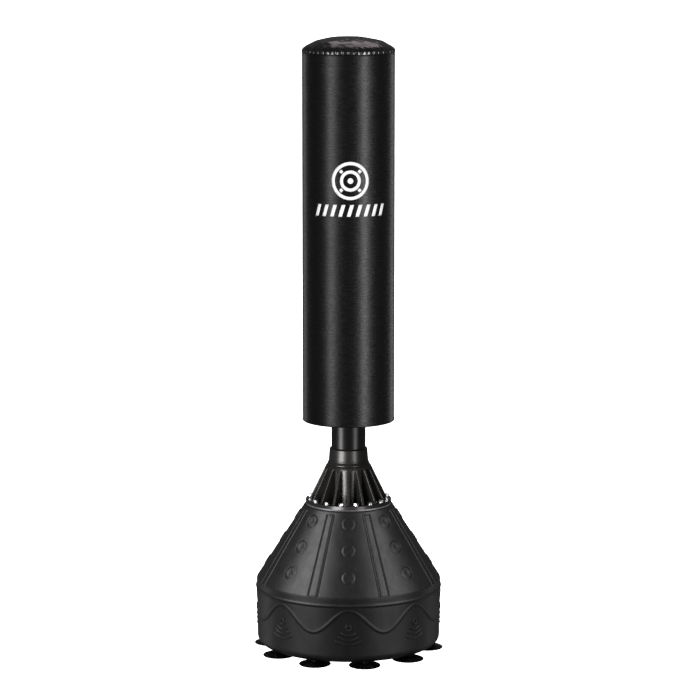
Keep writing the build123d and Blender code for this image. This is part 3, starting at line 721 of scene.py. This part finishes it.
# ------------------------ filler spout
def filler_spout():
    """The spout's neck, with a raised thread round it and an open bore."""
    neck_r, bore_r, neck_height = 23.0, 19.0, 14.0
    pitch, thread_rise, columns, wall_steps = 4.0, 0.45, 72, 26
    bore_foot = -TANK_WALL
    section = np.vstack(
        [
            line_points((neck_r, 0), (neck_r, neck_height - 1), wall_steps),
            arc_points((neck_r - 1, neck_height - 1), 1.0, 20, 90, 3),
            arc_points((bore_r + 0.8, neck_height - 0.8), 0.8, 90, 180, 3),
            [(bore_r, bore_foot), (neck_r - 1, bore_foot)],
        ]
    )
    azimuth = np.arange(columns) * tau / columns
    radius = np.repeat(section[:, :1], columns, 1)
    height = np.repeat(section[:, 1:], columns, 1)
    phase = (height - pitch * azimuth / tau) / pitch
    outside = np.arange(len(section))[:, None] <= wall_steps
    window = between(height, (4.5, 6), (11.5, 12.8))
    thread_ridge = thread_rise * window * round_bump(phase % 1 - 0.5, 0.35)
    grid = round_axis(radius + np.where(outside, thread_ridge, 0), azimuth, height)
    turned = grid @ np.array(filler_axis.to_track_quat("Z", "X").to_matrix()).T
    placed = turned + np.array(filler_foot)
    return turned_piece("filler_spout", placed, rows_close=True)


finish_piece(filler_spout(), "base", "tank_plastic")


# ------------------------ suction feet
def suction_foot(name):
    """A rubber foot: a thin ringed skirt, a stepped hub and a dished underside."""
    low, high = box_mm(name)
    cup_r = (high.x - low.x) / 2
    centre = (low + high) / 2
    ring_pitch, ring_half, ring_rise, columns = 6.0, 1.6, 0.9, 96
    skirt = line_points((cup_r - 2.2, 2.9), (22.5, 9.6), 44)
    reach = np.hypot(skirt[:, 0] - skirt[0, 0], skirt[:, 1] - skirt[0, 1])
    rings = round_bump(reach % ring_pitch - ring_pitch / 2, ring_half)
    window = between(reach, (2, 4), (16, 19))
    skirt[:, 1] += ring_rise * rings * window
    section = np.vstack(
        [
            [(8.0, 5.0), (22.0, 4.0), (34.0, 1.8), (cup_r - 3.5, 0.15)],
            arc_points((cup_r - 1.4, 1.4), 1.4, -90, 60, 6),
            skirt,
            [(21.0, 10.4), (18.2, 10.9), (17.2, 12.0)],
            [(16.8, high.z - 0.6), (16.4, high.z - 0.1), (8.0, high.z)],
        ]
    )
    azimuth = np.arange(columns) * tau / columns
    grid = round_axis(section[:, :1], azimuth, section[:, 1:])
    foot = turned_piece(f"foot_{name[-2:]}", grid + (centre.x, centre.y, 0))
    finish_piece(foot, "base", "cup_rubber", name)


for name in sorted(nodes):
    if name.startswith("suction_cup"):
        suction_foot(name)


# ------------------------ main spring
SPRING_MEAN_R, SPRING_WIRE_R, SPRING_TURNS = 36.0, 7.5, 3.75
LOWER_COILS_END, UPPER_COILS_START = 1.9, 1.86


def spring_half(name, start_turn, end_turn, *replaced):
    """Part of the coil spring's helix, with its end turns ground flat."""
    foot, top = spring_low.z, spring_high.z
    turn = np.linspace(start_turn, end_turn, 120)
    sunk = 0.55 * SPRING_WIRE_R
    climb = foot + sunk + (top - foot - 2 * sunk) * turn / SPRING_TURNS
    route = round_axis(SPRING_MEAN_R, turn * tau, climb)
    out = round_axis(1.0, turn * tau, 0.0 * turn)
    wire = (SPRING_WIRE_R, SPRING_WIRE_R)
    points, faces = tube_part(route, out, *wire, sides=18, taper=False)
    points[:, 2] = np.clip(points[:, 2], foot, top)
    return finish_piece(add_piece(name, points, faces), None, "spring_steel", *replaced)


lower_spring = spring_half("spring_lower_coils", 0, LOWER_COILS_END, "main_spring")
upper_spring = spring_half("spring_upper_coils", UPPER_COILS_START, SPRING_TURNS)
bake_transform(lower_spring)
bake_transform(upper_spring)

# ------------------------ bag cover
COVER_THICKNESS = 2.3
HEM_INNER_R = 70.0
WALL_COLUMNS, WALL_ROWS = 128, 116
WALL_SLACK = 1.4
WALL_WAVES, WALL_WAVE_SIZE = 26, 0.07
CLOTH_STEPS = 20
HEM_HEIGHT, HEM_RISE = 7.5, 0.6


def sleeve_unevenness():
    """Random soft waves over the sleeve's grid, in millimetres."""
    chance = np.random.default_rng(SEED)
    azimuth = np.arange(WALL_COLUMNS) * tau / WALL_COLUMNS
    share = np.linspace(0, 1, WALL_ROWS)[:, None]
    uneven = np.zeros((WALL_ROWS, WALL_COLUMNS))
    for _ in range(WALL_WAVES):
        around, up = chance.integers(2, 15), chance.uniform(2, 26)
        phase, strength = chance.uniform(0, tau, 2), chance.uniform(0.3, 1.0)
        wave_round = np.cos(around * azimuth + phase[0])
        uneven += strength * wave_round * np.cos(up * pi * share + phase[1])
    return uneven * WALL_WAVE_SIZE


def pressed_out(grid):
    """A tube of cloth, held at both ends, after a short simulation under pressure from inside."""
    sleeve = add_piece("sleeve_trial", grid, grid_faces(WALL_ROWS, WALL_COLUMNS))
    held = sleeve.vertex_groups.new(name="held")
    top_row = (WALL_ROWS - 1) * WALL_COLUMNS
    ends = [*range(WALL_COLUMNS), *range(top_row, top_row + WALL_COLUMNS)]
    held.add(ends, 1.0, "REPLACE")
    cloth = sleeve.modifiers.new("cloth", "CLOTH")
    cloth.settings.quality = 5
    cloth.settings.mass = 0.4
    cloth.settings.tension_stiffness = 25
    cloth.settings.compression_stiffness = 25
    cloth.settings.bending_stiffness = 3
    cloth.settings.vertex_group_mass = "held"
    cloth.settings.use_pressure = True
    cloth.settings.uniform_pressure_force = 4
    cloth.settings.effector_weights.gravity = 0
    cloth.point_cache.frame_start, cloth.point_cache.frame_end = 1, CLOTH_STEPS
    scene = bpy.context.scene
    for step in range(1, CLOTH_STEPS + 1):
        scene.frame_set(step)
    settled = sleeve.evaluated_get(bpy.context.evaluated_depsgraph_get()).data
    flat = np.zeros(len(settled.vertices) * 3)
    settled.vertices.foreach_get("co", flat)
    scene.frame_set(1)
    bpy.data.objects.remove(sleeve)
    return flat.reshape(grid.shape) * METRE


def settled_wall():
    """The sleeve's outer surface as it settles over the foam, as radii on a grid."""
    azimuth = np.arange(WALL_COLUMNS) * tau / WALL_COLUMNS
    height = np.linspace(BAG_FOOT_Z + HEM_HEIGHT + 2, SEAM_Z - 3, WALL_ROWS)
    start_r = BAG_R - 1.0 + sleeve_unevenness()
    points = pressed_out(round_axis(start_r, azimuth[None, :], height[:, None]))
    radius = np.hypot(points[..., 0], points[..., 1])
    swell = np.clip(radius - radius.mean(axis=1, keepdims=True), -WALL_SLACK, WALL_SLACK)
    return azimuth, height, BAG_R + swell


wall_azimuth, wall_height, wall_r = settled_wall()


def wall_radius(azimuth, height):
    """The settled sleeve's radius at any azimuth and height, between its grid's points."""
    column = (np.asarray(azimuth) % tau) / tau * WALL_COLUMNS
    share = (np.asarray(height) - wall_height[0]) / (wall_height[-1] - wall_height[0])
    row = np.clip(share * (WALL_ROWS - 1), 0, WALL_ROWS - 1.001)
    left, below = np.floor(column).astype(int), np.floor(row).astype(int)
    x, y = column - left, row - below
    left, right = left % WALL_COLUMNS, (left + 1) % WALL_COLUMNS
    low = wall_r[below, left] * (1 - x) + wall_r[below, right] * x
    high = wall_r[below + 1, left] * (1 - x) + wall_r[below + 1, right] * x
    return low * (1 - y) + high * y


def bag_wall():
    """The sewn sleeve: its hem folded under, its outer wall as it settled, and its inner face."""
    inner_r = BAG_R - COVER_THICKNESS
    foot = BAG_FOOT_Z
    hem = np.vstack(
        [
            [(HEM_INNER_R + 1, foot + 1.8), (HEM_INNER_R, foot + 0.9)],
            [(HEM_INNER_R + 1.5, foot), (100, foot), (BAG_R - 6, foot)],
            arc_points((BAG_R - 1.9, foot + 2.5), 2.5, -90, 0, 5),
            [(BAG_R + HEM_RISE, foot + 4.5), (BAG_R + HEM_RISE, foot + HEM_HEIGHT - 0.9)],
            [(BAG_R + 0.35, foot + HEM_HEIGHT - 0.1), (BAG_R - 0.2, foot + HEM_HEIGHT + 0.4)],
        ]
    )
    lining = [
        (BAG_R - 0.6, SEAM_Z - 0.6),
        (BAG_R - 1.6, SEAM_Z),
        (inner_r, SEAM_Z),
        (inner_r, SEAM_Z - 3),
        (inner_r, 0.5 * (SEAM_Z + foot)),
        (inner_r, foot + COVER_THICKNESS + 1),
        (inner_r - 1, foot + COVER_THICKNESS),
        (100, foot + COVER_THICKNESS),
    ]
    azimuth = wall_azimuth[None, :]

    def rings(section):
        section = np.array(section)
        return round_axis(section[:, :1], azimuth, section[:, 1:])

    wall = round_axis(wall_r, azimuth, wall_height[:, None])
    grid = np.concatenate([rings(hem), wall, rings(lining)])
    piece = turned_piece("bag_wall", grid, rows_close=True)
    smoothing = piece.modifiers.new("smooth", "SUBSURF")
    smoothing.levels = smoothing.render_levels = 1
    return piece


wall = bag_wall()
finish_piece(wall, "bag", "cover_leather", "bag_cover")

# ------------------------ pleated top cap
RIM_RADIUS, RIM_TURN = 14.0, radians(40)
SHOULDER_RADIUS, SHOULDER_TURN = 80.0, radians(76)
PLEATS, PLEAT_COLUMNS = 46, 18
PLEAT_HEIGHT, ROLL_RISE, CREASE_DEPTH, CROWN_WAVER = 1.5, 2.8, 0.25, 0.9
CAP_LINING_DEPTH = 4.5


def dome_point(length):
    """Radius, height and outward tilt of the domed top, a distance along it from the seam."""
    rim_end = RIM_RADIUS * RIM_TURN
    shoulder_end = rim_end + SHOULDER_RADIUS * (SHOULDER_TURN - RIM_TURN)
    rim_centre = np.array((BAG_R - RIM_RADIUS, 0.0))
    along_rim = np.array((cos(RIM_TURN), sin(RIM_TURN)))
    shoulder_centre = rim_centre + along_rim * (RIM_RADIUS - SHOULDER_RADIUS)
    crown_radius = SHOULDER_RADIUS + shoulder_centre[0] / cos(SHOULDER_TURN)
    crown_centre = (0, shoulder_centre[1] - shoulder_centre[0] * tan(SHOULDER_TURN))
    if length < rim_end:
        centre, radius, tilt = rim_centre, RIM_RADIUS, length / RIM_RADIUS
    elif length < shoulder_end:
        centre, radius = shoulder_centre, SHOULDER_RADIUS
        tilt = RIM_TURN + (length - rim_end) / SHOULDER_RADIUS
    else:
        centre, radius = crown_centre, crown_radius
        tilt = SHOULDER_TURN + (length - shoulder_end) / crown_radius
    tilt = min(tilt, pi / 2)
    return centre[0] + radius * cos(tilt), SEAM_Z + centre[1] + radius * sin(tilt), tilt


def dome_rows(lengths, azimuth, proud):
    """Rings of points on the dome at some distances from its seam, standing proud of it."""
    section = np.array([dome_point(length) for length in lengths])
    radius, height, tilt = (section[:, k : k + 1] for k in range(3))
    return round_axis(radius + proud * np.cos(tilt), azimuth, height + proud * np.sin(tilt))


def cap_relief(azimuth, lengths):
    """How far the leather stands off the dome: uneven pleats on a soft roll, and a soft crown."""
    chance = np.random.default_rng(SEED + 1)

    def each_pleat(low, high):
        """One random value for each pleat, spread over its columns."""
        return np.repeat(chance.uniform(low, high, PLEATS), PLEAT_COLUMNS)

    def drifting(low, high, count):
        """Random values that change slowly round the rim."""
        values = chance.uniform(low, high, count)
        return np.interp(azimuth, np.linspace(0, tau, count), values, period=tau)

    size = each_pleat(0.3, 1.5)
    gather = drifting(0.5, 1.4, 15)
    reach = each_pleat(24, 46)
    lean = drifting(-0.5, 0.5, 25)
    across = azimuth / tau * PLEATS + lean * smoothstep(4, 36, lengths)
    crest = np.abs(np.sin(pi * across))
    valley = 1 - smoothstep(0.05, 0.3, crest)
    window = between(lengths, (-0.5, 4.0), (0.3 * reach, 0.8 * reach))
    pleats = PLEAT_HEIGHT * size * gather * (crest - 0.6 - valley) * window
    roll = ROLL_RISE * between(lengths, (0, 11), (11, 38))
    creases = np.sin(across * 1.37 * pi + 0.21 * lengths) * between(lengths, (2, 10), (18, 30))
    crown = soft_waver(azimuth, lengths * 3, CROWN_WAVER)
    crown = crown * between(lengths, (24, 50), (100, 130))
    return pleats + roll + CREASE_DEPTH * creases + crown


def top_cap():
    """The leather cap: gathered in pleats from its seam over its rim, with a lining inside."""
    azimuth = np.arange(PLEATS * PLEAT_COLUMNS) * tau / (PLEATS * PLEAT_COLUMNS)
    stretches = (np.linspace(0, 48, 45), np.linspace(50, 120, 16), [126, 132, 136])
    lengths = np.concatenate(stretches)
    outer = dome_rows(lengths, azimuth, cap_relief(azimuth, lengths[:, None]))
    tuck = np.array([(BAG_R - 3.5, SEAM_Z + 0.2), (BAG_R - 1.2, SEAM_Z + 0.05)])
    start = round_axis(tuck[:, :1], azimuth, tuck[:, 1:])
    lining = dome_rows([126, 90, 60, 40, 20, 8], azimuth, -CAP_LINING_DEPTH)
    return turned_piece("top_cap", np.concatenate([lining, start, outer]))


cap = top_cap()
finish_piece(cap, "bag", "top_leather", "top_cover")


# ------------------------ stitching
STITCH_LENGTH, STITCH_PITCH = 4.4, 6.4
THREAD_HALF, THREAD_RISE = 0.55, 0.5


def stitch_row(name, azimuth, height, ahead, proud=0.35):
    """A row of thread stitches lying on the sleeve, each one a small tapered bead."""
    parts = []
    step = np.linspace(-0.5, 0.5, 5) * STITCH_LENGTH
    dip = proud - 0.5 * (2 * np.abs(step) / STITCH_LENGTH) ** 2
    for turn, z in zip(azimuth, height):
        spot_azimuth = turn + step * ahead[0] / BAG_R
        spot_height = z + step * ahead[1]
        on_hem = z < BAG_FOOT_Z + HEM_HEIGHT
        surface = BAG_R + HEM_RISE if on_hem else wall_radius(spot_azimuth, spot_height)
        route = round_axis(surface + dip, spot_azimuth, spot_height)
        out = round_axis(1.0, spot_azimuth, 0.0 * spot_height)
        parts.append(tube_part(route, out, THREAD_HALF, THREAD_RISE, sides=6))
    finish_piece(joined(name, parts), "bag", "cover_leather", look=stitching)


def ring_row(name, height):
    count = round(tau * BAG_R / STITCH_PITCH)
    azimuth = (np.arange(count) + 0.5) * tau / count
    stitch_row(name, azimuth, np.full(count, height), (1, 0))


ring_row("hem_stitches", BAG_FOOT_Z + HEM_HEIGHT - 2.6)
ring_row("seam_stitches", SEAM_Z - 4.2)


# ------------------------ back seam
def back_flap():
    """The strip that closes the sleeve at the back, with soft edges and a slight pucker."""
    half, thickness = flap_high.x, flap_high.y - BAG_R
    edge = np.array([0.6, 0, 0.3, 1.2]) - half
    across = np.concatenate([edge, np.linspace(-half + 3, half - 3, 9), -edge[[3, 2, 1, 0]]])
    rise = np.concatenate([[0.0, 0.4, 0.8, 1.0], np.ones(9), [1.0, 0.8, 0.4, 0.0]])
    height = np.linspace(flap_low.z, flap_high.z, 150)[:, None]
    pucker = 0.25 * np.sin(height * tau / 23 + across * 0.2)
    pucker = pucker * round_bump(np.abs(across) - 0.6 * half, 0.5 * half)
    azimuth = pi - across[None, ::-1] / BAG_R
    base = wall_radius(azimuth + 0 * height, height + 0 * azimuth)
    end = smoothstep(0, 1.5, height - flap_low.z) * smoothstep(0, 1.5, flap_high.z - height)
    outer_r = base + (rise * thickness + pucker) * (0.3 + 0.7 * end)
    outer = round_axis(outer_r, azimuth, height)
    inner = round_axis(base - 0.6, azimuth, height)
    return add_piece("back_flap", *film_part(outer, inner))


finish_piece(back_flap(), "bag", "cover_leather", "back_seam_strip")
flap_rows = np.arange(flap_low.z + 6, flap_high.z - 4, STITCH_PITCH)
for side, offset in (("left", -11.0), ("right", 11.0)):
    flap_azimuth = np.full(len(flap_rows), pi + offset / BAG_R)
    stitch_row(f"flap_stitches_{side}", flap_azimuth, flap_rows, (0, 1), proud=1.85)

# ------------------------ print on the front
PRINT_AZIMUTH = radians(2.4)
TARGET_Z, BARS_Z = 1357.0, 1274.0
PRINT_PROUD, PRINT_SUNK = 0.32, 0.1
TARGET_RINGS = ((44.0, 53.0), (20.5, 29.5), (0.4, 8.0))
BARS, BAR_PITCH, BAR_WIDTH, BAR_HEIGHT = 9, 24.0, 10.5, 33.0
BAR_SLANT, BAR_SHIFT = 0.3, 5.0


def print_patch(across, up):
    """A thin closed film of ink over a grid of flat positions, laid on the sleeve."""
    azimuth = PRINT_AZIMUTH + across / BAG_R
    surface = wall_radius(azimuth, up)
    return film_part(
        round_axis(surface + PRINT_PROUD, azimuth, up),
        round_axis(surface - PRINT_SUNK, azimuth, up),
    )


def print_ring(inner, outer, start, end):
    angle = np.radians(np.linspace(start, end, 97))[None, :]
    radius = np.linspace(outer, inner, 3)[:, None]
    return print_patch(radius * np.cos(angle), TARGET_Z + radius * np.sin(angle))


def print_tick(angle):
    """A short block of ink between the target's rings, along a radius."""
    along = np.linspace(32.5, 41.0, 3)[None, :]
    side = np.linspace(-4.5, 4.5, 3)[:, None]
    across = along * cos(angle) - side * sin(angle)
    return print_patch(across, TARGET_Z + along * sin(angle) + side * cos(angle))


def print_bar(left):
    up = np.linspace(-0.5, 0.5, 5)[:, None] * BAR_HEIGHT
    across = np.linspace(left, left + BAR_WIDTH, 5) + (up + BAR_HEIGHT / 2) * BAR_SLANT
    return print_patch(across, BARS_Z + up + 0 * across)


def front_print():
    """A plain target of rings, with a row of slanted bars below it."""
    parts = []
    for inner, outer in TARGET_RINGS:
        parts += [print_ring(inner, outer, start, start + 180) for start in (0, 180)]
    parts += [print_tick(radians(angle)) for angle in range(45, 360, 90)]
    for bar in range(BARS):
        middle = (bar - (BARS - 1) / 2) * BAR_PITCH - BAR_SHIFT
        parts.append(print_bar(middle - BAR_WIDTH / 2))
    return finish_piece(joined("front_print", parts), "bag", "cover_leather", look=ink)


emblem = front_print()

# ------------------------ floor, lights and camera
scene = bpy.context.scene


def light_only(light, receivers, name):
    """Limits a light to the objects given."""
    collection = bpy.data.collections.new(name)
    for receiver in receivers:
        collection.objects.link(receiver)
    light.light_linking.receiver_collection = collection


def panel_light(name, azimuth, distance, height, size, power, aim_z, colour, lit):
    """A soft rectangular light that faces the axis at a height, and lights some objects only."""
    data = bpy.data.lights.new(name, "AREA")
    data.shape = "RECTANGLE"
    data.size, data.size_y = size
    data.energy = power
    data.color = colour
    light = bpy.data.objects.new(name, data)
    turn = radians(azimuth)
    light.location = (distance * sin(turn), -distance * cos(turn), height)
    aim = Vector((0, 0, aim_z)) - light.location
    light.rotation_euler = aim.to_track_quat("-Z", "Y").to_euler()
    light.visible_camera = False
    scene.collection.objects.link(light)
    light_only(light, lit, name)


FLOOR_SIDE, FLOOR_NEAR, FLOOR_FAR = 60000, -40000, 80000
floor = add_piece(
    "floor",
    [
        (-FLOOR_SIDE, FLOOR_NEAR, 0),
        (FLOOR_SIDE, FLOOR_NEAR, 0),
        (FLOOR_SIDE, FLOOR_FAR, 0),
        (-FLOOR_SIDE, FLOOR_FAR, 0),
    ],
    [(0, 1, 2, 3)],
)
floor_look = Look("floor", grey(0.86), 0.9, Specular_IOR_Level=0.0)
floor_look.vary_colour(floor_look.noise(2.0, detail=2), grey(0.84), grey(0.88))
floor.data.materials.append(floor_look.material)
floor.visible_glossy = False
floor.visible_diffuse = False
floor.visible_shadow = False

sun_data = bpy.data.lights.new("floor_light", "SUN")
sun_data.energy = 8.0
sun_data.angle = radians(60)
sun_data.use_shadow = False
sun = bpy.data.objects.new("floor_light", sun_data)
scene.collection.objects.link(sun)
light_only(sun, [floor], "floor_only")

neck = [nodes["core_tube"]]
collar = [nodes["neck_collar"]]
housing = [nodes[name] for name in ("spring_housing", "flange_bolts", "flange_washers")]
feet = [piece for piece in scene.objects if piece.name.startswith("foot_")]


def body_pieces(bodies, left_out):
    """The mesh pieces on some bodies, apart from those with lights of their own."""
    return [
        piece
        for piece in scene.objects
        if piece.get("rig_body") in bodies and piece.type == "MESH" and piece not in left_out
    ]


sleeve = body_pieces(["bag"], [cap, *neck, *collar])
tank_group = body_pieces(["base", "filler_closure", "filler_seal"], housing + feet)
WHITE, WARM, ROSE = (1, 1, 1), (1.0, 0.975, 0.955), (1.0, 0.88, 0.92)
# Name, azimuth, distance, height, size, power, height aimed at, colour, and what it lights
for light_row in (
    ("bag_left", -42.0, 3.0, 1.05, (0.80, 3.0), 30, 1.05, WHITE, sleeve + [cap]),
    ("bag_right", 40.0, 3.0, 1.05, (0.50, 3.0), 38, 1.05, WHITE, sleeve + [cap]),
    ("bag_back_left", -138, 3.0, 1.05, (0.8, 3.0), 5, 1.05, WHITE, sleeve),
    ("bag_back_right", 138, 3.0, 1.05, (0.8, 3.0), 7, 1.05, WHITE, sleeve),
    ("neck_left", -53, 3.0, -0.2, (1.1, 2.2), 62, 0.3, WHITE, neck),
    ("neck_right", 47, 3.0, -0.2, (0.9, 2.2), 26, 0.3, WHITE, neck),
    ("collar_left", -42, 3.0, -0.2, (1.6, 2.2), 176, 0.3, WARM, collar),
    ("collar_right", 36, 3.0, -0.2, (0.8, 2.2), 48, 0.3, WARM, collar),
    ("housing_left", -30, 3.0, 0.4, (1.3, 3.6), 215, 0.4, WARM, housing),
    ("housing_right", 34, 3.0, 0.4, (0.9, 3.6), 54, 0.4, WARM, housing),
    ("tank_left", -66, 2.4, 2.3, (2.2, 1.6), 62, 0.3, WHITE, tank_group),
    ("tank_right", 63, 2.4, 2.3, (2.2, 1.6), 38, 0.3, WHITE, tank_group),
    ("tank_low_left", -52, 3.0, 0.35, (2.4, 2.4), 30, 0.2, WHITE, tank_group),
    ("tank_low_right", 50, 3.0, 0.35, (2.4, 2.4), 26, 0.2, WHITE, tank_group),
    ("tank_rim_left", -118, 3.0, -0.5, (1.0, 1.6), 3.2, 0.1, WHITE, tank_group),
    ("tank_rim_right", 118, 3.0, -0.5, (1.0, 1.6), 1.8, 0.1, WHITE, tank_group),
    ("feet", -15, 3.0, 1.6, (2.4, 0.5), 8, 0.0, WHITE, feet),
    ("print_fill", 0, 4.0, 1.5, (2.0, 2.0), 130, 1.3, WHITE, [emblem]),
    ("cap_left", -42, 3.0, 1.1, (0.8, 2.2), 24, 1.75, WHITE, [cap]),
    ("cap_right", 40, 3.0, 1.1, (0.8, 2.2), 48, 1.75, WHITE, [cap]),
    ("crown", 175, 1.6, 3.6, (1.4, 1.2), 5, 1.75, ROSE, [cap]),
):
    panel_light(*light_row)

# A dim white room, which the camera itself sees as plain white
AMBIENT = 0.07
world = bpy.data.worlds.new("studio")
world.use_nodes = True
scene.world = world
tree = world.node_tree
room = tree.nodes["Background"]
room.inputs["Strength"].default_value = AMBIENT
backdrop = tree.nodes.new("ShaderNodeBackground")
for background in (room, backdrop):
    background.inputs["Color"].default_value = (1, 1, 1, 1)
path = tree.nodes.new("ShaderNodeLightPath")
mix = tree.nodes.new("ShaderNodeMixShader")
tree.links.new(path.outputs["Is Camera Ray"], mix.inputs[0])
tree.links.new(room.outputs[0], mix.inputs[1])
tree.links.new(backdrop.outputs[0], mix.inputs[2])
tree.links.new(mix.outputs[0], tree.nodes["World Output"].inputs["Surface"])

CAMERA_LENS = 143.54
CAMERA_PLACE = (0.0043, -7.83, 2.1246)
CAMERA_DIP = 9.157
camera_data = bpy.data.cameras.new("camera")
camera_data.lens = CAMERA_LENS
camera = bpy.data.objects.new("camera", camera_data)
camera.location = CAMERA_PLACE
camera.rotation_euler = (radians(90 - CAMERA_DIP), 0, 0)
scene.collection.objects.link(camera)
scene.camera = camera
scene.view_settings.view_transform = "Standard"
